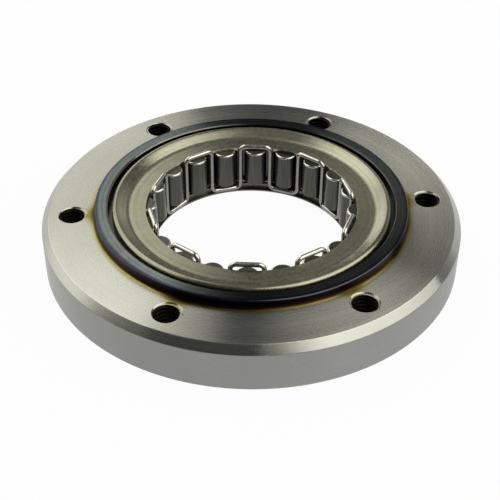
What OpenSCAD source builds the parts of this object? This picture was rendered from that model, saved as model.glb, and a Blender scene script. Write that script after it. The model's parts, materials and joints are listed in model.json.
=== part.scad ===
// Starter clutch: a one-way clutch that bolts to a flywheel and grips the hub of a starter gear.
// Origin at the centre of the back face, +Z towards the raised collar, sizes in millimetres.

/* [Ring] */
// Width of the bolting flange, from the collar to the ring's outer wall
flange_w = 15.2; // [13:0.1:25]
// Height of the bolting flange, from the back face to the face round the collar
ring_h = 14.6; // [12:0.1:24]
// Width of the chamfer round the flange's upper edge
edge_chamfer_w = 2; // [0.5:0.1:3]
// Height of the chamfer round the flange's upper edge
edge_chamfer_h = 2.2; // [0.5:0.1:4]
// Chamfer round the back face's edge
back_chamfer = 0.9; // [0.2:0.1:2]

/* [Collar and recess] */
// Wall of the raised collar, whose outside is the register that centres the flywheel
collar_w = 3.7; // [2.5:0.1:6]
// Height of the collar above the flange's face
collar_h = 2.7; // [2:0.1:5]
// Fillet at the foot of the collar
collar_fillet = 0.9; // [0.3:0.1:1.5]
// Chamfer on both edges of the collar's top
collar_chamfer = 0.35; // [0.1:0.05:0.8]
// Width of the recess floor, from the race to the recess wall
recess_w = 5.4; // [4.8:0.1:9]
// Depth of the recess below the collar's top
recess_depth = 2.8; // [2.4:0.1:4]

/* [Race and lip] */
// Radial space between hub and race, which the sprags fill
grip_space = 8.3; // [7.6:0.05:9.2]
// Chamfer at the mouth of the race
race_chamfer = 0.4; // [0.1:0.1:1]
// Thickness of the lip under the cage
lip_h = 2.1; // [1.8:0.1:3]
// How far the lip's thin guard reaches in under the wire
guard_reach = 1.4; // [0.4:0.1:1.6]
// Thickness of the guard
guard_h = 0.6; // [0.4:0.1:0.8]
// Chamfer round the back of the guard's bore
lip_chamfer = 0.2; // [0.1:0.05:0.3]

/* [Bolt holes] */
// Number of tapped holes
bolt_count = 6; // [3:1:8]
// Distance from the collar's wall to the bolt circle
bolt_inset = 6.3; // [5.2:0.1:7.5]
// Hole diameter, the pitch diameter of an M8 thread
bolt_hole_d = 7.2; // [5:0.1:8]
// Chamfer at both ends of each hole
bolt_chamfer = 0.65; // [0.2:0.05:1]
// Angle of the first hole from +X
bolt_first_angle = 5.3; // [0:0.1:60]

/* [Sprags] */
// Number of sprags, an even number so that the wire closes on itself
sprag_count = 20; // [14:2:20]
// Angle of the first sprag from +X
sprag_first_angle = 88; // [72:0.5:90]
// Diameter of the hub that the sprag noses grip
hub_d = 54.8; // [50:0.1:64]
// Radius of a sprag's nose, its inner gripping arc
nose_r = 3.4; // [3.1:0.05:3.5]
// Width of a sprag's head across its flat flanks
head_w = 9; // [8.7:0.1:9.2]
// Chamfer round the ends of a sprag
sprag_chamfer = 0.35; // [0.2:0.05:0.6]
// Sideways step from the head's arc centre to the nose's, which gives the wedging angle
cam_side = 0.5; // [0.3:0.05:0.7]
// Radial step from the head's arc centre to the nose's
cam_rise = 0.5; // [0.2:0.05:0.8]

/* [Cage] */
// Thickness of the pressed sheet
sheet_t = 0.7; // [0.6:0.05:1.1]
// How far the sprag noses stand out of the cage's bore
nose_reach = 2.9; // [2.4:0.1:3.1]
// Gap between a nose and each side of its window
window_clear = 0.6; // [0.4:0.05:0.65]
// Outer radius of the bend at the dished flange's rim
rim_bend_r = 1.1; // [1.1:0.05:1.6]
// Gap between the dished flange's rim and the recess wall
rim_gap = 1.1; // [0.5:0.1:1.5]

/* [Wire spring] */
// Diameter of the spring wire
wire_d = 1.4; // [1:0.05:1.5]
// Radius of the wire's corners, at the wire's centre
wire_bend_r = 1.6; // [1:0.1:2.4]
// Height of the upper crossings' centre above the cage's land
wire_rise = 1; // [0.9:0.1:1.3]

/* [Running clearances] */
// Radial gap between the sprag heads and the race
race_clear = 0.1; // [0.05:0.05:0.2]
// Gap under the cage, at the lip and at the recess floor
seat_clear = 0.3; // [0.2:0.05:0.4]
// Gap at each end of a sprag, inside the cage
end_clear = 0.1; // [0.1:0.05:0.6]
// Gap between a sprag's shoulders and the cage's window band
shoulder_clear = 0.6; // [0.5:0.05:1]
// Gap between the cage's lower flange and the race
flange_clear = 0.5; // [0.3:0.05:1]
// Gap between the wire and the cage's bore
wire_clear = 0.25; // [0.1:0.05:0.4]
// Gap between the wire's lower crossings and the guard
guard_clear = 0.2; // [0.1:0.05:0.4]

/* [Hidden] */
$fn = 96;
wire_fn = 48;
cut_margin = 1;
// Bending draws the wire a little thinner at its corners, and each corner reaches into the straight wire
bend_thinning = 0.02;
bend_overlap = 5;

// Radii of the ring, from the hub out
race_r = hub_d / 2 + grip_space;
recess_r = race_r + recess_w;
collar_r = recess_r + collar_w;
bolt_circle_r = collar_r + bolt_inset;
ring_r = collar_r + flange_w;

// Heights, from the back face up
collar_top = ring_h + collar_h;
recess_floor = collar_top - recess_depth;
cage_bottom = lip_h + seat_clear;
land_bottom = recess_floor + seat_clear;
land_top = land_bottom + sheet_t;
sprag_bottom = cage_bottom + sheet_t + end_clear;
sprag_top = land_bottom - end_clear;
sprag_len = sprag_top - sprag_bottom;

// Radii of the cage and the sprags, from the hub out
cage_bore_r = hub_d / 2 + nose_reach;
guard_r = cage_bore_r - guard_reach;
band_r = cage_bore_r + sheet_t;
shoulder_r = band_r + shoulder_clear;
window_w = 2 * (nose_r + window_clear);
nose_centre = [0, hub_d / 2 + nose_r];
head_centre = nose_centre - [cam_side, cam_rise];
head_r = race_r - race_clear - norm(head_centre);

// The dished flange leaves the land at the race and runs up to a bend that is flush with the collar
fold = [race_r, land_top];
rim_r = recess_r - rim_gap;
bend_centre = [rim_r - rim_bend_r, collar_top - rim_bend_r];
fold_to_bend = bend_centre - fold;
dish_angle = atan2(fold_to_bend.y, fold_to_bend.x) + asin(rim_bend_r / norm(fold_to_bend));

// Sprags stand one pitch apart, and the wire's legs stand midway between them
pitch = 360 / sprag_count;
wire_r = cage_bore_r - wire_clear - wire_d / 2;
leg_side = wire_r * sin(pitch / 2);
loop_r = wire_r * cos(pitch / 2);
wire_top = land_top + wire_rise;
wire_bottom = guard_h + guard_clear + wire_d / 2;

function sprag_name(k) = str("sprag_", k < 10 ? "0" : "", k);

// Turns a child that is drawn on the +Y axis to the place of sprag k
module at_sprag(k) {
    rotate([0, 0, sprag_first_angle - 90 + k * pitch])
        children();
}

module ring_section() {
    polygon([
        [guard_r + lip_chamfer, 0],
        [ring_r - back_chamfer, 0],
        [ring_r, back_chamfer],
        [ring_r, ring_h - edge_chamfer_h],
        [ring_r - edge_chamfer_w, ring_h],
        [collar_r, ring_h],
        [collar_r, collar_top - collar_chamfer],
        [collar_r - collar_chamfer, collar_top],
        [recess_r + collar_chamfer, collar_top],
        [recess_r, collar_top - collar_chamfer],
        [recess_r, recess_floor],
        [race_r + race_chamfer, recess_floor],
        [race_r, recess_floor - race_chamfer],
        [race_r, lip_h],
        [cage_bore_r, lip_h],
        [cage_bore_r, guard_h],
        [guard_r, guard_h],
        [guard_r, lip_chamfer]
    ]);
    translate([collar_r, ring_h])
        difference() {
            square(collar_fillet);
            translate([collar_fillet, collar_fillet])
                circle(collar_fillet);
        }
}

module bolt_hole() {
    hole_r = bolt_hole_d / 2;
    translate([0, 0, -cut_margin])
        cylinder(r = hole_r, h = ring_h + 2 * cut_margin);
    for (top = [0, 1])
        translate([0, 0, top * ring_h])
            mirror([0, 0, top])
                translate([0, 0, -cut_margin])
                    cylinder(
                        r1 = hole_r + bolt_chamfer + cut_margin,
                        r2 = hole_r,
                        h = bolt_chamfer + cut_margin
                    );
}

// Hardened ring: bolting flange, collar, race and lip turned from one blank
module outer_ring() {
    color("darkgray")
        difference() {
            rotate_extrude()
                ring_section();
            for (k = [0:bolt_count - 1])
                rotate([0, 0, bolt_first_angle + k * 360 / bolt_count])
                    translate([bolt_circle_r, 0, 0])
                        bolt_hole();
        }
}

// Points of an arc about a centre, from one angle to another
function arc(centre, r, from, to, steps = 8) =
    [for (i = [0:steps]) centre + r * [cos(from + (to - from) * i / steps), sin(from + (to - from) * i / steps)]];

// Half section of the cage: lower flange, window band, land and dish with its turned-down rim
module cage_section() {
    flange_r = race_r - flange_clear;
    fold_under = fold + sheet_t * [tan(dish_angle / 2), -1];
    polygon(concat(
        [
            [cage_bore_r, cage_bottom],
            [flange_r, cage_bottom],
            [flange_r, cage_bottom + sheet_t],
            [band_r, cage_bottom + sheet_t],
            [band_r, land_bottom],
            fold_under
        ],
        arc(bend_centre, rim_bend_r - sheet_t, dish_angle + 90, 0),
        [
            [rim_r - sheet_t, land_bottom],
            [rim_r, land_bottom]
        ],
        arc(bend_centre, rim_bend_r, 0, dish_angle + 90),
        [
            fold,
            [cage_bore_r, land_top]
        ]
    ));
}

// Pressed cage with one window for each sprag
module cage() {
    window_bottom = cage_bottom + sheet_t;
    color("tan")
        difference() {
            rotate_extrude()
                cage_section();
            for (k = [0:sprag_count - 1])
                at_sprag(k)
                    translate([-window_w / 2, cage_bore_r - cut_margin - sheet_t, window_bottom])
                        cube([window_w, 2 * (cut_margin + sheet_t), land_bottom - window_bottom]);
        }
}

// One bridge of the wire with its two corners, which reach a little way into the legs
module wire_loop() {
    half_run = leg_side - wire_bend_r;
    translate([-half_run, 0, wire_bend_r])
        rotate([0, 90, 0])
            cylinder(d = wire_d, h = 2 * half_run, $fn = wire_fn);
    for (side = [0, 1])
        mirror([side, 0, 0])
            translate([half_run, 0, 0])
                rotate([90, 0, 0])
                    rotate([0, 0, -bend_overlap])
                        rotate_extrude(angle = 90 + 2 * bend_overlap)
                            translate([wire_bend_r, 0])
                                circle(d = wire_d - bend_thinning, $fn = wire_fn);
}

// One wire that runs over each second sprag and under the ones between
module meander_spring() {
    leg_bottom = wire_bottom + wire_bend_r;
    leg_top = wire_top - wire_bend_r;
    color("gainsboro")
        union() {
            for (k = [0:sprag_count - 1])
                at_sprag(k)
                    translate([0, loop_r, k % 2 == 0 ? leg_top : leg_bottom])
                        mirror([0, 0, k % 2])
                            wire_loop();
            for (k = [0:sprag_count - 1])
                at_sprag(k + 0.5)
                    translate([0, wire_r, leg_bottom])
                        cylinder(d = wire_d, h = leg_top - leg_bottom, $fn = wire_fn);
        }
}

// Cylinder of a sprag's length with a chamfer at both ends
module sprag_roll(r) {
    rotate_extrude()
        polygon([
            [0, 0],
            [r - sprag_chamfer, 0],
            [r, sprag_chamfer],
            [r, sprag_len - sprag_chamfer],
            [r - sprag_chamfer, sprag_len],
            [0, sprag_len]
        ]);
}

// Sprag k: a narrow nose that grips the hub, and a wide head behind the cage that bears on the race
module sprag(k) {
    color("dimgray")
        at_sprag(k)
            translate([0, 0, sprag_bottom])
                union() {
                    translate(nose_centre)
                        sprag_roll(nose_r);
                    intersection() {
                        translate(head_centre)
                            sprag_roll(head_r);
                        translate([-head_w / 2, shoulder_r, 0])
                            cube([head_w, race_r - shoulder_r, sprag_len]);
                    }
                }
}

outer_ring();
cage();
meander_spring();
for (k = [1:sprag_count])
    sprag(k - 1);
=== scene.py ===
import bpy
import json
import math
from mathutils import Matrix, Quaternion, Vector


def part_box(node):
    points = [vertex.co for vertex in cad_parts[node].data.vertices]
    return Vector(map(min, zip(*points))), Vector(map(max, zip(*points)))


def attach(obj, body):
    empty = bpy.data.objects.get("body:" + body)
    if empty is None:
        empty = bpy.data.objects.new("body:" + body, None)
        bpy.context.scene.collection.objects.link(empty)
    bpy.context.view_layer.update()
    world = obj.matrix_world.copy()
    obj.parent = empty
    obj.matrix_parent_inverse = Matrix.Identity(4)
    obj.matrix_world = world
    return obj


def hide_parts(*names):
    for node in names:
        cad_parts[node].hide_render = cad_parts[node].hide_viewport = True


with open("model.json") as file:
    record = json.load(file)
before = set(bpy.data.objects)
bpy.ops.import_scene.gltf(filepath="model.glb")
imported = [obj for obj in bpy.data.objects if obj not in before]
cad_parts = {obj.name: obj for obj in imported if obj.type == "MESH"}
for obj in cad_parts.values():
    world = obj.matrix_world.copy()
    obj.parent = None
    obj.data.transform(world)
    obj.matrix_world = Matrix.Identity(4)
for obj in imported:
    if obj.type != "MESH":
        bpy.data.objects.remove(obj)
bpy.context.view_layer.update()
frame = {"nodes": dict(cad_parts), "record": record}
mm = 0.001
weld = 0.001 * mm  # vertices closer than this become one
samePlace = 0.01 * mm
print("frame loaded,", len(frame["nodes"]), "nodes")

# Sizes that the frame already holds, in millimetres
mounts = {mount["name"]: mount for mount in frame["record"]["mounts"]}
boltCircleRadius = mounts["flywheel_bolts"]["dims"]["pcd_mm"] / 2
boltCount = mounts["flywheel_bolts"]["dims"]["count"]
collarRadius = mounts["flywheel_register"]["dims"]["r_mm"]
flangeTop = mounts["flywheel_face"]["pos_m"][2] / mm
hubRadius = mounts["hub_seat"]["dims"]["r_mm"]


def nodeSpan(node, axis):  # lowest and highest millimetre of a CAD node along one axis
    low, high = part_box(node)
    return round(low[axis] / mm, 2), round(high[axis] / mm, 2)


ringRadius = nodeSpan("outer_ring", 0)[1]
collarTop = nodeSpan("outer_ring", 2)[1]
rimRadius = nodeSpan("cage", 0)[1]
cageBottom, cageTop = nodeSpan("cage", 2)
wireBottom, wireTop = nodeSpan("meander_spring", 2)
spragBottom, spragTop = nodeSpan("sprag_01", 2)

pitch = {"sprags": 20, "firstSprag": 88.0, "firstBolt": 5.3}  # angles in degrees from +X


def spragTurn(k):  # how far sprag k is turned from the +Y axis
    return math.radians(pitch["firstSprag"] - 90 + k * 360 / pitch["sprags"])


# Tools for shaping a mesh the way it is done by hand

def deselectEverything():
    if bpy.context.object and bpy.context.object.mode != "OBJECT":
        bpy.ops.object.mode_set(mode="OBJECT")
    bpy.ops.object.select_all(action="DESELECT")


def workOn(piece):
    deselectEverything()
    piece.select_set(True)
    bpy.context.view_layer.objects.active = piece


def namePiece(name):
    piece = bpy.context.object
    piece.name = name
    piece.data.name = name
    return piece


def selectParts(piece, kind, test):  # kind is VERT, EDGE or FACE, and test takes one of them
    workOn(piece)
    bpy.ops.object.mode_set(mode="EDIT")
    bpy.ops.mesh.select_mode(type=kind)
    bpy.ops.mesh.select_all(action="DESELECT")
    bpy.ops.object.mode_set(mode="OBJECT")
    parts = {"VERT": piece.data.vertices, "EDGE": piece.data.edges, "FACE": piece.data.polygons}[kind]
    for part in parts:
        part.select = test(part)
    bpy.ops.object.mode_set(mode="EDIT")


def drawOutline(name, corners, height=None):  # a closed outline, from one vertex pulled corner to corner
    def place(corner):  # upright in the XZ plane, or flat at a height
        upright = Vector((corner[0], 0, corner[1]))
        return (upright if height is None else Vector((*corner, height))) * mm

    deselectEverything()
    here = place(corners[0])
    bpy.ops.mesh.primitive_plane_add(size=mm, location=here)
    piece = namePiece(name)
    bpy.ops.object.transform_apply(location=True)
    bpy.ops.object.mode_set(mode="EDIT")
    bpy.ops.mesh.select_mode(type="VERT")
    bpy.ops.mesh.merge(type="CENTER")
    for corner in corners[1:] + corners[:1]:
        there = place(corner)
        bpy.ops.mesh.extrude_vertices_move(TRANSFORM_OT_translate={"value": there - here})
        here = there
    bpy.ops.mesh.select_all(action="SELECT")
    bpy.ops.mesh.remove_doubles(threshold=weld)
    return piece


def roundCorners(piece, corners, width, segments=3):
    places = [Vector((corner[0], 0, corner[1])) * mm for corner in corners]
    selectParts(piece, "VERT", lambda vertex: any((vertex.co - place).length < samePlace for place in places))
    bpy.ops.mesh.bevel(offset=width * mm, segments=segments, profile=0.5, affect="VERTICES")


def spinRound(piece, steps):
    workOn(piece)
    bpy.ops.object.mode_set(mode="EDIT")
    bpy.ops.mesh.select_all(action="SELECT")
    bpy.ops.mesh.spin(steps=steps, angle=2 * math.pi, center=(0, 0, 0), axis=(0, 0, 1))
    closeMesh(piece)


def closeMesh(piece):
    workOn(piece)
    bpy.ops.object.mode_set(mode="EDIT")
    bpy.ops.mesh.select_all(action="SELECT")
    bpy.ops.mesh.remove_doubles(threshold=weld)
    bpy.ops.mesh.normals_make_consistent(inside=False)
    bpy.ops.object.mode_set(mode="OBJECT")


def applyModifier(piece, kind, **settings):
    workOn(piece)
    modifier = piece.modifiers.new(kind.title(), kind)
    for key, value in settings.items():
        setattr(modifier, key, value)
    bpy.ops.object.modifier_apply(modifier=modifier.name)


def cutAway(piece, cutter):
    applyModifier(piece, "BOOLEAN", operation="DIFFERENCE", solver="EXACT", object=cutter)
    bpy.data.objects.remove(cutter)


def turnedCopy(piece, angle, name):
    workOn(piece)
    bpy.ops.object.duplicate(linked=False)
    copy = namePiece(name)
    copy.rotation_euler.z = angle
    bpy.ops.object.transform_apply(rotation=True)
    return copy


def joinAll(pieces, name):
    deselectEverything()
    for piece in pieces:
        piece.select_set(True)
    bpy.context.view_layer.objects.active = pieces[0]
    bpy.ops.object.join()
    return namePiece(name)


def smoothFaces(piece, angle=32):
    workOn(piece)
    bpy.ops.object.shade_smooth_by_angle(angle=math.radians(angle))
    applyModifier(piece, "WEIGHTED_NORMAL", keep_sharp=True, weight=80)


def paint(piece, materials, choose):  # choose gives each face the place of its material in the list
    piece.data.materials.clear()
    for material in materials:
        piece.data.materials.append(material)
    for face in piece.data.polygons:
        face.material_index = choose(face)


def arcPoints(centre, radius, start, end, steps=10):
    angles = [math.radians(start + (end - start) * i / steps) for i in range(steps + 1)]
    return [(centre[0] + radius * math.cos(a), centre[1] + radius * math.sin(a)) for a in angles]


# Tools for the finishes

def newMaterial(name, **sockets):  # sockets are the shader's own, with _ for a space in the name
    material = bpy.data.materials.new(name)
    material.use_nodes = True
    shader = material.node_tree.nodes["Principled BSDF"]
    for key, value in sockets.items():
        shader.inputs[key.replace("_", " ")].default_value = value
    return material


def addNode(material, kind, inputs=None, **settings):  # the world takes nodes like a material
    tree = material.node_tree
    node = tree.nodes.new("ShaderNode" + kind)
    for key, value in settings.items():
        setattr(node, key, value)
    for key, value in (inputs or {}).items():
        if isinstance(value, bpy.types.NodeSocket):
            tree.links.new(value, node.inputs[key])
        else:
            node.inputs[key].default_value = value
    return node


def plug(material, socket, name):
    shader = material.node_tree.nodes["Principled BSDF"]
    material.node_tree.links.new(socket, shader.inputs[name])


def maths(material, operation, first, second=0.0, third=0.0):
    return addNode(material, "Math", {0: first, 1: second, 2: third}, operation=operation).outputs[0]


def objectPoint(material):  # the surface point in millimetres
    point = addNode(material, "TexCoord").outputs["Object"]
    return addNode(material, "VectorMath", {0: point, "Scale": 1 / mm}, operation="SCALE").outputs[0]


def cylinderPoint(material):  # radius, height and angle of the surface point round the ring's axis
    apart = addNode(material, "SeparateXYZ", {0: objectPoint(material)})
    x, y, z = apart.outputs
    radius = maths(material, "SQRT", maths(material, "ADD", maths(material, "MULTIPLY", x, x),
                                           maths(material, "MULTIPLY", y, y)))
    return radius, z, maths(material, "ARCTAN2", y, x)


def turningLines(material, distance, perMillimetre, detail=3.0):  # the same all round, as a lathe leaves them
    return addNode(material, "TexNoise", {"W": distance, "Scale": perMillimetre, "Detail": detail},
                   noise_dimensions="1D").outputs["Fac"]


def blotches(material, size, detail=3.0):
    inputs = {"Vector": objectPoint(material), "Scale": 1 / size, "Detail": detail}
    return addNode(material, "TexNoise", inputs).outputs["Fac"]


def spread(material, value, low, high, fromLow=0.3, fromHigh=0.7):
    return addNode(material, "MapRange", {0: value, 1: fromLow, 2: fromHigh, 3: low, 4: high}).outputs[0]


def shadeOf(material, colour, brightness):  # colour may be a socket or three numbers, brightness is a socket
    return addNode(material, "VectorMath", {0: colour, "Scale": brightness}, operation="SCALE").outputs[0]


def grooves(material, height, depth):  # depth in millimetres
    bump = addNode(material, "Bump", {"Height": height, "Distance": depth * mm, "Strength": 1.0})
    plug(material, bump.outputs[0], "Normal")


quarterTurn = 0.25  # of the anisotropy's direction, as a share of a full turn


def turnedRound(material):  # lathe marks run round the ring's axis, so gloss spreads across them
    plug(material, addNode(material, "Tangent", direction_type="RADIAL", axis="Z").outputs[0], "Tangent")


# Outer ring

ringShape = {
    "edgeChamferWidth": 2.0, "edgeChamferHeight": 2.2, "backChamfer": 0.9, "edgeBreak": 0.12,
    "collarFillet": 0.9, "collarChamfer": 0.35, "recessRadius": 41.1, "recessDepth": 2.8,
    "raceRadius": 35.7, "raceChamfer": 0.4, "boreRadius": 30.3, "lipTop": 2.1,
    "guardRadius": 28.9, "guardTop": 0.6, "guardChamfer": 0.2,
    "outlineStart": 45.0, "roundSteps": 288,
}
tapShape = {"majorRadius": 4.0, "minorRadius": 3.32, "pitch": 1.25, "turns": 14, "steps": 40,
            "mouthRadius": 4.15, "mouthDepth": 0.35, "mouthSides": 64, "mouthOverrun": 0.5, "overrun": 1.4}


def ringOutline():
    shape = ringShape
    recessFloor = collarTop - shape["recessDepth"]
    fillet = shape["collarFillet"]
    foot = arcPoints((collarRadius + fillet, flangeTop + fillet), fillet, 270, 180, 6)
    return [
        (shape["outlineStart"], 0.0),
        (ringRadius - shape["backChamfer"], 0.0),
        (ringRadius, shape["backChamfer"]),
        (ringRadius, flangeTop - shape["edgeChamferHeight"]),
        (ringRadius - shape["edgeChamferWidth"], flangeTop),
        *foot,
        (collarRadius, collarTop - shape["collarChamfer"]),
        (collarRadius - shape["collarChamfer"], collarTop),
        (shape["recessRadius"] + shape["collarChamfer"], collarTop),
        (shape["recessRadius"], collarTop - shape["collarChamfer"]),
        (shape["recessRadius"], recessFloor),
        (shape["raceRadius"] + shape["raceChamfer"], recessFloor),
        (shape["raceRadius"], recessFloor - shape["raceChamfer"]),
        (shape["raceRadius"], shape["lipTop"]),
        (shape["boreRadius"], shape["lipTop"]),
        (shape["boreRadius"], shape["guardTop"]),
        (shape["guardRadius"], shape["guardTop"]),
        (shape["guardRadius"], shape["guardChamfer"]),
        (shape["guardRadius"] + shape["guardChamfer"], 0.0),
    ]


def boltAngle(k):
    return math.radians(pitch["firstBolt"] + k * 360 / boltCount)


def makeTap():  # a solid screw that leaves the thread behind when it is cut away
    shape = tapShape
    crest, root = shape["pitch"] / 4, shape["pitch"] / 8
    flank = (shape["pitch"] - crest - root) / 2
    steps = [
        (shape["minorRadius"], 0),
        (shape["minorRadius"], crest),
        (shape["majorRadius"], crest + flank),
        (shape["majorRadius"], crest + flank + root),
        (shape["minorRadius"], shape["pitch"]),
    ]
    deselectEverything()
    here = Vector((steps[0][0], 0, -shape["overrun"])) * mm
    bpy.ops.mesh.primitive_plane_add(size=mm, location=here)
    tap = namePiece("tap")
    bpy.ops.object.transform_apply(location=True)
    bpy.ops.object.mode_set(mode="EDIT")
    bpy.ops.mesh.merge(type="CENTER")
    for before, after in zip(steps, steps[1:]):
        move = Vector((after[0] - before[0], 0, after[1] - before[1])) * mm
        bpy.ops.mesh.extrude_vertices_move(TRANSFORM_OT_translate={"value": move})
    bpy.ops.object.mode_set(mode="OBJECT")
    applyModifier(
        tap, "SCREW", angle=2 * math.pi, screw_offset=shape["pitch"] * mm, iterations=shape["turns"],
        steps=shape["steps"], render_steps=shape["steps"], use_merge_vertices=True, merge_threshold=weld)
    workOn(tap)
    bpy.ops.object.mode_set(mode="EDIT")
    bpy.ops.mesh.select_all(action="SELECT")
    bpy.ops.mesh.remove_doubles(threshold=weld)
    bpy.ops.mesh.fill_holes(sides=0)
    bpy.ops.object.mode_set(mode="OBJECT")
    closeMesh(tap)
    return tap


def makeMouth(height, into):  # the countersink at one end of a hole
    shape = tapShape
    depth, beyond = shape["mouthDepth"], shape["mouthOverrun"]
    deselectEverything()
    bpy.ops.mesh.primitive_cone_add(
        vertices=shape["mouthSides"],
        radius1=(shape["mouthRadius"] + beyond) * mm,
        radius2=(shape["mouthRadius"] - depth) * mm,
        depth=(depth + beyond) * mm,
        location=(0, 0, (height + into * (depth - beyond) / 2) * mm),
        rotation=(0 if into > 0 else math.pi, 0, 0))
    mouth = namePiece("mouth")
    bpy.ops.object.transform_apply(location=True, rotation=True)
    return mouth


def holeDistance(place):  # from the nearest hole's axis, in millimetres
    x, y = place.x / mm, place.y / mm
    centres = [(boltCircleRadius * math.cos(boltAngle(k)), boltCircleRadius * math.sin(boltAngle(k)))
               for k in range(boltCount)]
    return min(math.hypot(x - cx, y - cy) for cx, cy in centres)


def cutBoltHoles(ring):
    for makeCutter, where in [(makeTap, ()), (makeMouth, (0.0, 1)), (makeMouth, (flangeTop, -1))]:
        cutter = makeCutter(*where)
        for vertex in cutter.data.vertices:
            vertex.co.x += boltCircleRadius * mm
        cutters = [turnedCopy(cutter, boltAngle(k), "cutter") for k in range(boltCount)]
        bpy.data.objects.remove(cutter)
        cutAway(ring, joinAll(cutters, "cutters"))


def makeRing():
    outline = ringOutline()
    ring = drawOutline("ring", outline)
    collar = outline.index((collarRadius, collarTop - ringShape["collarChamfer"]))
    roundCorners(ring, outline[1:5] + outline[collar:], ringShape["edgeBreak"])
    spinRound(ring, ringShape["roundSteps"])
    cutBoltHoles(ring)
    closeMesh(ring)
    smoothFaces(ring)
    return ring


print("ring")
ring = makeRing()

# Cage

cageShape = {
    "sheet": 0.7, "boreRadius": 30.3, "flangeRadius": 35.2, "landTop": 15.5, "foldRadius": 35.7,
    "rimBend": 1.1, "dishAngle": 32.3, "foldSoftness": 0.7, "footBend": 0.7, "edgeBreak": 0.1,
    "windowWidth": 8.0, "windowDepth": 4.0, "windowCorner": 0.7, "outlineStart": 33.0, "roundSteps": 240,
}


def cageOutline():
    shape = cageShape
    sheet = shape["sheet"]
    landBottom = shape["landTop"] - sheet
    slope = shape["dishAngle"] + 90
    bend = (rimRadius - shape["rimBend"], cageTop - shape["rimBend"])
    under = shape["foldRadius"] + sheet * math.tan(math.radians(shape["dishAngle"] / 2))
    return [
        (shape["outlineStart"], cageBottom),
        (shape["flangeRadius"], cageBottom),
        (shape["flangeRadius"], cageBottom + sheet),
        (shape["boreRadius"] + sheet, cageBottom + sheet),
        (shape["boreRadius"] + sheet, landBottom),
        (under, landBottom),
        *arcPoints(bend, shape["rimBend"] - sheet, slope, 0),
        (rimRadius - sheet, landBottom),
        (rimRadius, landBottom),
        *arcPoints(bend, shape["rimBend"], 0, slope, 14),
        (shape["foldRadius"], shape["landTop"]),
        (shape["boreRadius"], shape["landTop"]),
        (shape["boreRadius"], cageBottom),
    ]


def makeWindowCutters():
    shape = cageShape
    low, high = cageBottom + shape["sheet"], shape["landTop"] - shape["sheet"]
    deselectEverything()
    bpy.ops.mesh.primitive_cube_add(size=1, location=(0, shape["boreRadius"] * mm, (low + high) / 2 * mm))
    cutter = namePiece("windowCutter")
    cutter.scale = Vector((shape["windowWidth"], shape["windowDepth"], high - low)) * mm
    bpy.ops.object.transform_apply(location=True, scale=True)

    def runsOutwards(edge):
        first, second = (cutter.data.vertices[i].co.y for i in edge.vertices)
        return abs(first - second) > samePlace

    selectParts(cutter, "EDGE", runsOutwards)
    bpy.ops.mesh.bevel(offset=shape["windowCorner"] * mm, segments=4, affect="EDGES")
    bpy.ops.object.mode_set(mode="OBJECT")
    cutters = [turnedCopy(cutter, spragTurn(k), "cutter") for k in range(pitch["sprags"])]
    bpy.data.objects.remove(cutter)
    return joinAll(cutters, "windowCutters")


def makeCage():
    outline = cageOutline()
    cage = drawOutline("pressedCage", outline)
    foldUnder, foldTop, topEdge, foot = outline[5], outline[-3], outline[-2], outline[-1]
    roundCorners(cage, [foldUnder, foldTop], cageShape["foldSoftness"], 4)
    roundCorners(cage, [outline[1], outline[2], topEdge], cageShape["edgeBreak"])
    roundCorners(cage, [foot], cageShape["footBend"], 4)
    spinRound(cage, cageShape["roundSteps"])
    cutAway(cage, makeWindowCutters())
    smoothFaces(cage)
    return cage


print("cage")
pressedCage = makeCage()

# Meander wire

wireShape = {"diameter": 1.4, "bend": 1.6, "boreGap": 0.25, "sides": 20, "bendSteps": 8, "smoothAngle": 60}


def makeWire():
    shape = wireShape
    half = math.pi / pitch["sprags"]
    wireCircle = cageShape["boreRadius"] - shape["boreGap"] - shape["diameter"] / 2
    legSide, away = wireCircle * math.sin(half), wireCircle * math.cos(half)
    middle = (wireTop + wireBottom) / 2
    bend = shape["bend"]
    crossing = wireTop - shape["diameter"] / 2
    deselectEverything()
    bpy.ops.mesh.primitive_circle_add(
        vertices=shape["sides"], radius=shape["diameter"] / 2 * mm,
        location=Vector((legSide, away, middle)) * mm)
    loop = namePiece("wireLoop")
    bpy.ops.object.transform_apply(location=True)
    bpy.ops.object.mode_set(mode="EDIT")
    bpy.ops.mesh.select_all(action="SELECT")

    def straight(x, z):
        bpy.ops.mesh.extrude_region_move(TRANSFORM_OT_translate={"value": Vector((x, 0, z)) * mm})

    def corner(x):
        bpy.ops.mesh.spin(steps=shape["bendSteps"], angle=math.pi / 2, axis=(0, 1, 0),
                          center=Vector((x, away, crossing - bend)) * mm)

    straight(0, crossing - bend - middle)
    corner(legSide - bend)
    straight(-2 * (legSide - bend), 0)
    corner(bend - legSide)
    straight(0, middle - crossing + bend)
    bpy.ops.object.mode_set(mode="OBJECT")
    loops = []
    for k in range(pitch["sprags"]):
        one = turnedCopy(loop, spragTurn(k), "wireLoop")
        if k % 2:  # every second loop runs underneath
            for vertex in one.data.vertices:
                vertex.co.z = 2 * middle * mm - vertex.co.z
        loops.append(one)
    bpy.data.objects.remove(loop)
    wire = joinAll(loops, "meanderWire")
    closeMesh(wire)
    smoothFaces(wire, shape["smoothAngle"])
    return wire


print("wire")
meanderWire = makeWire()

# Sprags

spragShape = {
    "noseRadius": 3.4, "headWidth": 9.0, "shoulderRadius": 31.6, "stepAside": 0.5, "stepIn": 0.5,
    "raceGap": 0.1, "endChamfer": 0.5, "headSteps": 40, "noseSteps": 60, "smoothAngle": 35,
}


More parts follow.
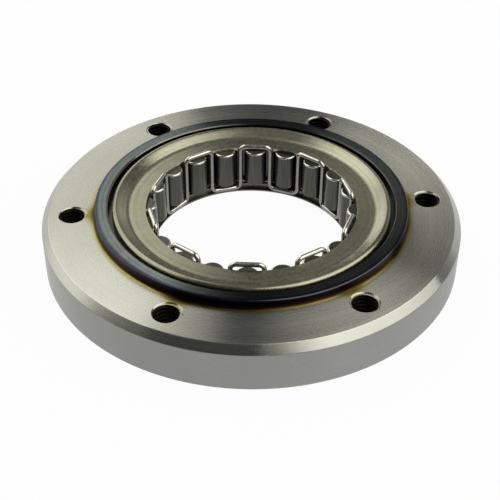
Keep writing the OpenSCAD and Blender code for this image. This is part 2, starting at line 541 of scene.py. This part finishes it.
def spragOutline():
    shape = spragShape
    noseY = hubRadius + shape["noseRadius"]
    headX, headY = -shape["stepAside"], noseY - shape["stepIn"]
    headRadius = ringShape["raceRadius"] - shape["raceGap"] - math.hypot(headX, headY)
    flank, shoulder = shape["headWidth"] / 2, shape["shoulderRadius"]
    right = math.degrees(math.acos((flank - headX) / headRadius))
    left = math.degrees(math.acos((-flank - headX) / headRadius))
    waist = math.degrees(math.asin((shoulder - noseY) / shape["noseRadius"]))
    return [
        (flank, shoulder),
        *arcPoints((headX, headY), headRadius, right, left, shape["headSteps"]),
        (-flank, shoulder),
        *arcPoints((0, noseY), shape["noseRadius"], 180 - waist, 360 + waist, shape["noseSteps"]),
    ]


def makeSprag():
    sprag = drawOutline("sprag", spragOutline(), spragBottom)
    bpy.ops.mesh.edge_face_add()
    bpy.ops.mesh.extrude_region_move(TRANSFORM_OT_translate={"value": (0, 0, (spragTop - spragBottom) * mm)})
    closeMesh(sprag)

    def isAtAnEnd(edge):
        first, second = (sprag.data.vertices[i].co.z for i in edge.vertices)
        return abs(first - second) < samePlace

    selectParts(sprag, "EDGE", isAtAnEnd)
    bpy.ops.mesh.bevel(offset=spragShape["endChamfer"] * mm, segments=3, profile=0.5, affect="EDGES")
    closeMesh(sprag)
    smoothFaces(sprag, spragShape["smoothAngle"])
    return sprag


print("sprags")
firstSprag = makeSprag()
sprags = [turnedCopy(firstSprag, spragTurn(k), f"spragPiece{k + 1:02d}") for k in range(pitch["sprags"])]
bpy.data.objects.remove(firstSprag)

# Finishes of the ring

ringLooks = {
    # painted shade: the outer side wall's colour is the flange steel painted darker
    "steel": (0.60, 0.60, 0.54), "side": (0.29, 0.29, 0.275), "chamfer": (0.44, 0.44, 0.40),
    "race": (0.06, 0.06, 0.055), "thread": (0.014, 0.012, 0.010), "mouth": (0.42, 0.41, 0.35),
    "lip": (0.17, 0.165, 0.14), "collarEdge": (0.055, 0.050, 0.072),
    "turnedRoughness": 0.275, "chamferRoughness": 0.22, "turnedSpread": 0.015, "anisotropy": 1.0,
    "linesPerMillimetre": 1.2, "fineShare": 0.6, "lineDepth": 0.0002, "lineShade": (0.97, 1.03),
    "patchSize": 14.0, "patchShade": (0.97, 1.03), "plainShade": (0.9, 1.08), "plainSpread": 0.05,
    "plainSize": 3.0, "holeSize": 1.0, "raceRoughness": 0.22, "threadRoughness": 0.45,
    "mouthRoughness": 0.25, "lipRoughness": 0.40, "collarEdgeRoughness": 0.20,
}
# Temper colours from the recess out to the plain flange: millimetres from the collar's foot, and a colour
temperColours = [
    (-6.6, (0.20, 0.15, 0.12)), (-6.1, (0.15, 0.15, 0.14)), (-5.2, (0.18, 0.20, 0.19)),
    (-3.9, (0.16, 0.18, 0.19)), (-3.35, (0.06, 0.07, 0.085)), (-2.9, (0.015, 0.018, 0.035)),
    (-1.5, (0.014, 0.008, 0.014)), (-0.2, (0.022, 0.010, 0.007)), (0.32, (0.055, 0.036, 0.010)),
    (0.75, (0.38, 0.31, 0.09)), (1.1, (0.54, 0.49, 0.29)), (2.0, ringLooks["steel"]),
]
# The last colours reach further out beside each hole, and the whole ramp drifts a little round the ring
temperHalo = {"from": 0.25, "stretch": 2.4, "halfAngle": 0.12, "drift": 0.18, "driftSize": 22.0}
# Painted light and shade on the collar: lighter on one side and darker on the others, darkest in a narrow
# part
paintedCollarLight = {
    "lightAngle": 178, "lightFrom": 0.1, "lightTo": 0.6, "light": 1.22, "dark": 0.45,
    "darkestAngle": -62, "darkestFrom": 0.80, "darkestTo": 0.97, "darkest": 0.45,
}
temperMarks = {
    "streaksPerMillimetre": 1.3, "streakShade": (0.75, 1.25), "mottleSize": 3.0, "mottleShade": (0.88, 1.12),
    "fadeFrom": -1.5,
}


def angleShare(material, angle, centre, low, high):  # 1 near the centre angle, falling to 0 away from it
    closeness = maths(material, "COSINE", maths(material, "SUBTRACT", angle, math.radians(centre)))
    return addNode(material, "MapRange", {0: closeness, 1: low, 2: high, 3: 0.0, 4: 1.0},
                   interpolation_type="SMOOTHSTEP").outputs[0]


def temperField(material, radius, height, angle):  # how far a point is from the collar's foot
    sector = 2 * math.pi / boltCount
    turned = maths(material, "SUBTRACT", angle, math.radians(pitch["firstBolt"]))
    aside = maths(material, "ABSOLUTE", maths(material, "WRAP", turned, -sector / 2, sector / 2))
    halo = addNode(material, "MapRange", {0: aside, 1: 0.0, 2: temperHalo["halfAngle"], 3: 1.0, 4: 0.0},
                   interpolation_type="SMOOTHSTEP").outputs[0]
    wander = blotches(material, temperHalo["driftSize"], 2.0)
    drift = spread(material, wander, -temperHalo["drift"], temperHalo["drift"])
    outwards = maths(material, "SUBTRACT", radius, collarRadius)
    upwards = maths(material, "SUBTRACT", height, flangeTop)
    field = maths(material, "ADD", maths(material, "SUBTRACT", outwards, upwards), drift)
    near = maths(material, "MINIMUM", field, temperHalo["from"])
    far = maths(material, "MAXIMUM", maths(material, "SUBTRACT", field, temperHalo["from"]), 0.0)
    stretch = maths(material, "ADD", maths(material, "MULTIPLY", halo, temperHalo["stretch"]), 1.0)
    return maths(material, "ADD", near, maths(material, "DIVIDE", far, stretch))


def temperRamp(material, field):
    low, high = temperColours[0][0], temperColours[-1][0]
    share = addNode(material, "MapRange", {0: field, 1: low, 2: high}).outputs[0]
    ramp = addNode(material, "ValToRGB", {"Fac": share})
    stops = ramp.color_ramp.elements
    stops[0].position, stops[1].position = 0.0, 1.0
    stops[0].color, stops[1].color = (*temperColours[0][1], 1), (*temperColours[-1][1], 1)
    for place, colour in temperColours[1:-1]:
        stops.new((place - low) / (high - low)).color = (*colour, 1)
    return ramp.outputs["Color"]


def temperTintWithPaintedLight(material, radius, height, angle):
    sides, marks = paintedCollarLight, temperMarks
    field = temperField(material, radius, height, angle)
    colour = temperRamp(material, field)
    # painted light on one side of the collar and painted shade on the others, over its temper colours
    paintedLitSide = angleShare(material, angle, sides["lightAngle"], sides["lightFrom"], sides["lightTo"])
    paintedShadedSide = angleShare(material, angle, sides["darkestAngle"], sides["darkestFrom"], sides["darkestTo"])
    level = maths(material, "MULTIPLY", spread(material, paintedLitSide, sides["dark"], sides["light"], 0, 1),
                  spread(material, paintedShadedSide, 1.0, sides["darkest"], 0, 1))
    lines = turningLines(material, radius, marks["streaksPerMillimetre"], 4.0)
    streaks = spread(material, lines, *marks["streakShade"])
    mottling = spread(material, blotches(material, marks["mottleSize"]), *marks["mottleShade"])
    level = maths(material, "MULTIPLY", maths(material, "MULTIPLY", level, streaks), mottling)
    onCollar = spread(material, field, 1.0, 0.0, marks["fadeFrom"], 0.0)
    change = maths(material, "MULTIPLY", maths(material, "SUBTRACT", level, 1.0), onCollar)
    return shadeOf(material, colour, maths(material, "ADD", change, 1.0))


def turnedSteel(name, colour, along, roughness):  # along is radius or height; no colour gives the temper colours with painted light and shade
    looks = ringLooks
    material = newMaterial(
        name, Metallic=1.0, Anisotropic=looks["anisotropy"], Anisotropic_Rotation=quarterTurn)
    radius, height, angle = cylinderPoint(material)
    distance = radius if along == "radius" else height
    fine = turningLines(material, distance, looks["linesPerMillimetre"], 1.0)
    broad = turningLines(material, distance, looks["linesPerMillimetre"] / 4, 1.0)
    lines = maths(material, "ADD", maths(material, "MULTIPLY", fine, looks["fineShare"]),
                  maths(material, "MULTIPLY", broad, 1 - looks["fineShare"]))
    patches = blotches(material, looks["patchSize"])
    shade = maths(material, "MULTIPLY", spread(material, lines, *looks["lineShade"]),
                  spread(material, patches, *looks["patchShade"]))
    tint = colour or temperTintWithPaintedLight(material, radius, height, angle)
    plug(material, shadeOf(material, tint, shade), "Base Color")
    gloss = spread(material, lines, roughness - looks["turnedSpread"], roughness + looks["turnedSpread"])
    plug(material, gloss, "Roughness")
    grooves(material, fine, looks["lineDepth"])
    turnedRound(material)
    return material


def plainSteel(name, region, size=ringLooks["plainSize"]):
    looks = ringLooks
    colour, roughness = looks[region], looks[region + "Roughness"]
    material = newMaterial(name, Metallic=1.0)
    shade = spread(material, blotches(material, size), *looks["plainShade"])
    plug(material, shadeOf(material, colour, shade), "Base Color")
    low, high = roughness - looks["plainSpread"], roughness + looks["plainSpread"]
    plug(material, spread(material, blotches(material, size / 3), low, high), "Roughness")
    return material


print("finishes")
ringMaterials = {
    "flange": turnedSteel("turnedFlange", None, "radius", ringLooks["turnedRoughness"]),
    "side": turnedSteel("turnedSide", ringLooks["side"], "height", ringLooks["turnedRoughness"]),
    "chamfer": turnedSteel("turnedChamfer", ringLooks["chamfer"], "radius", ringLooks["chamferRoughness"]),
    "race": plainSteel("groundRace", "race"),
    "thread": plainSteel("threadWall", "thread", ringLooks["holeSize"]),
    "mouth": plainSteel("holeMouth", "mouth", ringLooks["holeSize"]),
    "back": turnedSteel("turnedBack", ringLooks["steel"], "radius", ringLooks["turnedRoughness"]),
    "lip": plainSteel("lipWall", "lip"),
    "collarEdge": plainSteel("collarEdge", "collarEdge"),
}


def ringRegion(face):  # which of the ring's materials a face gets
    shape = ringShape
    near, close = 0.1, 0.02  # millimetres
    place, upward = face.center, abs(face.normal.z)
    radius, height = math.hypot(place.x, place.y) / mm, place.z / mm
    isLevel, slantsHalfway = upward > 0.99, abs(upward - math.sqrt(0.5)) < 0.1
    chamferFoot, chamferIn = collarTop - shape["collarChamfer"], collarRadius - shape["collarChamfer"]
    if holeDistance(place) < tapShape["mouthRadius"] + close and not isLevel:
        depth = min(height, flangeTop - height)
        return "mouth" if depth < tapShape["mouthDepth"] and slantsHalfway else "thread"
    if radius > ringRadius - near:
        return "side"
    if radius < shape["raceRadius"] - near and close < height < shape["lipTop"] + near:
        return "lip"
    if chamferIn + close < radius < collarRadius + close and height > chamferFoot + close:
        return "collarEdge"
    if height < shape["guardChamfer"] + near:
        return "back"
    if radius > ringRadius - shape["backChamfer"] and height < shape["backChamfer"] + near:
        return "back"
    chamferInner = ringRadius - shape["edgeChamferWidth"] + near / 2  # its rounded edge goes with the flange
    if radius > chamferInner and height > flangeTop - shape["edgeChamferHeight"]:
        return "chamfer"
    return "race" if radius < shape["recessRadius"] + close else "flange"


ringRegions = list(ringMaterials)
paint(ring, ringMaterials.values(), lambda face: ringRegions.index(ringRegion(face)))

# Finish of the cage

cageLooks = {
    "steel": (0.41, 0.40, 0.30), "roughness": (0.26, 0.32), "glossSize": 1.2, "anisotropy": 0.6,
    "linesPerMillimetre": 1.0, "lineDepth": 0.0006, "lineShade": (0.90, 1.06), "patchSize": 5.0,
    "patchShade": (0.93, 1.05), "rimShade": 0.85, "rimFrom": 37.7, "rimTo": 38.2,
}


def pressedSteel(name):
    looks = cageLooks
    material = newMaterial(
        name, Metallic=1.0, Anisotropic=looks["anisotropy"], Anisotropic_Rotation=quarterTurn)
    radius, height, angle = cylinderPoint(material)
    lines = turningLines(material, radius, looks["linesPerMillimetre"], 1.0)
    patches = blotches(material, looks["patchSize"])
    shade = maths(material, "MULTIPLY", spread(material, lines, *looks["lineShade"]),
                  spread(material, patches, *looks["patchShade"]))
    # painted shade: the colour darkens towards the rim
    paintedRimShade = spread(material, radius, 1.0, looks["rimShade"], looks["rimFrom"], looks["rimTo"])
    shade = maths(material, "MULTIPLY", shade, paintedRimShade)
    plug(material, shadeOf(material, looks["steel"], shade), "Base Color")
    gloss = spread(material, blotches(material, looks["glossSize"], 1.0), *looks["roughness"])
    plug(material, gloss, "Roughness")
    grooves(material, lines, looks["lineDepth"])
    turnedRound(material)
    return material


paint(pressedCage, [pressedSteel("pressedSteel")], lambda face: 0)

# Finish of the wire

wireLooks = {
    "steel": (1.0, 0.97, 0.86), "patchSize": 1.5, "patchShade": (0.85, 1.08), "roughness": (0.14, 0.24),
    "paintedSideShade": 0.24, "paintedTopLight": 0.72, "topFrom": 0.15, "topTo": 0.75,
}


def springWire(name):  # painted light on its upper side and painted shade on its sides
    looks = wireLooks
    material = newMaterial(name, Metallic=1.0)
    patches = blotches(material, looks["patchSize"])
    normal = addNode(material, "TexCoord").outputs["Normal"]
    facing = addNode(material, "SeparateXYZ", {0: normal}).outputs["Z"]
    # painted light and shade: the colour is lighter where the wire faces up and darker on its sides
    bright = spread(material, facing, looks["paintedSideShade"], looks["paintedTopLight"], looks["topFrom"], looks["topTo"])
    shade = maths(material, "MULTIPLY", bright, spread(material, patches, *looks["patchShade"]))
    plug(material, shadeOf(material, looks["steel"], shade), "Base Color")
    plug(material, spread(material, patches, *looks["roughness"]), "Roughness")
    return material


paint(meanderWire, [springWire("drawnWire")], lambda face: 0)

# Finishes of the sprags

spragLooks = {
    "flank": (0.072, 0.072, 0.062), "flankRoughness": 0.26, "edge": (0.68, 0.68, 0.62), "edgeRoughness": 0.20,
    "end": (0.12, 0.12, 0.10), "endRoughness": 0.34, "roughnessSpread": 0.05,
    "streaksPerMillimetre": 2.2, "streakLength": 0.04, "streakShade": (0.75, 1.25),
}


def polishedSprag(name, colour, roughness):  # with streaks along its length
    looks = spragLooks
    material = newMaterial(name, Metallic=1.0)
    x, y, z = addNode(material, "SeparateXYZ", {0: objectPoint(material)}).outputs
    squeezed = maths(material, "MULTIPLY", z, looks["streakLength"])
    place = addNode(material, "CombineXYZ", {0: x, 1: y, 2: squeezed}).outputs[0]
    streaks = addNode(material, "TexNoise", {
        "Vector": place, "Scale": looks["streaksPerMillimetre"], "Detail": 3.0}).outputs["Fac"]
    plug(material, shadeOf(material, colour, spread(material, streaks, *looks["streakShade"])), "Base Color")
    low, high = roughness - looks["roughnessSpread"], roughness + looks["roughnessSpread"]
    plug(material, spread(material, streaks, low, high), "Roughness")
    return material


spragMaterials = {
    "flank": polishedSprag("polishedSprag", spragLooks["flank"], spragLooks["flankRoughness"]),
    # painted highlight: a light colour on the upward-leaning chamfer at the upper end
    "edge": polishedSprag("paintedHighlightEdge", spragLooks["edge"], spragLooks["edgeRoughness"]),
    "end": polishedSprag("groundEnd", spragLooks["end"], spragLooks["endRoughness"]),
}
spragRegions = list(spragMaterials)


def spragRegion(face):  # painted highlight: the chamfer round the upper end gets a light colour, the lower one keeps the flank's
    isLevel, leansUp = face.normal.z > 0.97, face.normal.z > 0.2
    if isLevel:
        return "end"
    return "edge" if leansUp else "flank"


for sprag in sprags:
    paint(sprag, spragMaterials.values(), lambda face: spragRegions.index(spragRegion(face)))

# What carries what

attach(ring, "ring")
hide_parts("outer_ring")
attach(pressedCage, "cage")
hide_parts("cage")
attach(meanderWire, "cage")
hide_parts("meander_spring")
for k, sprag in enumerate(sprags):
    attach(sprag, f"sprag_{k + 1:02d}")
    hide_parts(f"sprag_{k + 1:02d}")

# Floor, surroundings and lamps

studio = {
    "floorWidth": 8.0, "floorColour": 0.88, "floorGlow": 0.96, "glowStrength": 1.0,
    "sky": [(0.10, 0.28), (0.34, 0.05), (0.90, 0.05), (0.97, 0.22)],  # upward share and brightness
    "lampDistance": 0.60, "lampColour": (1.0, 1.0, 0.93),
    "lamps": {  # azimuth, height and roll in degrees, width and height in metres, brightness
        "leftPanel": (160, 34, -10, 0.61, 0.73, 1.3),
        "leftStrip": (111.5, 34, -10, 0.26, 0.73, 1.2),
        "rightStrip": (74, 34, 0, 0.17, 0.60, 0.22),
        "rightPanel": (-20, 45, 0, 0.84, 0.70, 1.85),
        "backPanel": (50, 17, 0, 0.45, 0.30, 0.35),
    },
}


def makeFloor():
    deselectEverything()
    bpy.ops.mesh.primitive_plane_add(size=studio["floorWidth"])
    floor = namePiece("floor")
    material = bpy.data.materials.new("paleFloor")
    material.use_nodes = True
    nodes, links = material.node_tree.nodes, material.node_tree.links
    nodes.clear()
    diffuse = addNode(material, "BsdfDiffuse", {"Color": (*[studio["floorColour"]] * 3, 1)})
    glow = addNode(material, "Emission", {"Color": (1, 1, 1, 1), "Strength": studio["glowStrength"]})
    rays = addNode(material, "LightPath")
    seen = maths(material, "MAXIMUM", rays.outputs["Is Camera Ray"], rays.outputs["Is Glossy Ray"])
    seen = maths(material, "MAXIMUM", seen, rays.outputs["Is Transmission Ray"])
    share = maths(material, "MULTIPLY", seen, studio["floorGlow"])
    mixed = addNode(material, "MixShader", {0: share, 1: diffuse.outputs[0], 2: glow.outputs[0]})
    links.new(mixed.outputs[0], nodes.new("ShaderNodeOutputMaterial").inputs["Surface"])
    paint(floor, [material], lambda face: 0)


def direction(azimuth, height):
    a, e = math.radians(azimuth), math.radians(height)
    return Vector((math.cos(a) * math.cos(e), math.sin(a) * math.cos(e), math.sin(e)))


def makeSurroundings():
    world = bpy.data.worlds.new("studio")
    bpy.context.scene.world = world
    world.use_nodes = True
    background = world.node_tree.nodes["Background"]
    outwards = addNode(world, "TexCoord").outputs["Generated"]
    up = addNode(world, "SeparateXYZ", {0: outwards}).outputs["Z"]
    ramp = addNode(world, "ValToRGB", {"Fac": up})
    stops = ramp.color_ramp.elements
    for place, level in studio["sky"][1:-1]:
        stops.new(place)
    for stop, (place, level) in zip(stops, studio["sky"]):
        stop.position = place
        stop.color = (level, level, level, 1)
    world.node_tree.links.new(ramp.outputs["Color"], background.inputs["Color"])


def makeLamp(name, azimuth, height, roll, wide, tall, brightness):
    place = direction(azimuth, height) * studio["lampDistance"]
    facing = (-place).to_track_quat("-Z", "Y") @ Quaternion((0, 0, 1), math.radians(roll))
    bpy.ops.object.light_add(type="AREA", location=place, rotation=facing.to_euler())
    lamp = bpy.context.object
    lamp.name = name
    lamp.data.shape, lamp.data.size, lamp.data.size_y = "RECTANGLE", wide, tall
    lamp.data.energy = brightness * math.pi * wide * tall
    lamp.data.color = studio["lampColour"]
    lamp.visible_camera = False


cameraPlace = {
    "from": (0, -260.4, 201.8), "to": (-0.34, -20.18, 14.6), "roll": 0.41, "lens": 80.06, "sensor": 36.0,
    "nearest": 0.01, "farthest": 30,
}


def makeCamera():
    place, aim = Vector(cameraPlace["from"]) * mm, Vector(cameraPlace["to"]) * mm
    bpy.ops.object.camera_add(location=place)
    camera = bpy.context.object
    camera.rotation_mode = "QUATERNION"
    facing = (aim - place).to_track_quat("-Z", "Y")
    camera.rotation_quaternion = facing @ Quaternion((0, 0, 1), math.radians(cameraPlace["roll"]))
    camera.data.sensor_width, camera.data.lens = cameraPlace["sensor"], cameraPlace["lens"]
    camera.data.clip_start, camera.data.clip_end = cameraPlace["nearest"], cameraPlace["farthest"]
    bpy.context.scene.camera = camera


print("studio")
makeFloor()
makeSurroundings()
for name, values in studio["lamps"].items():
    makeLamp(name, *values)
makeCamera()
bpy.context.scene.view_settings.view_transform = "Standard"
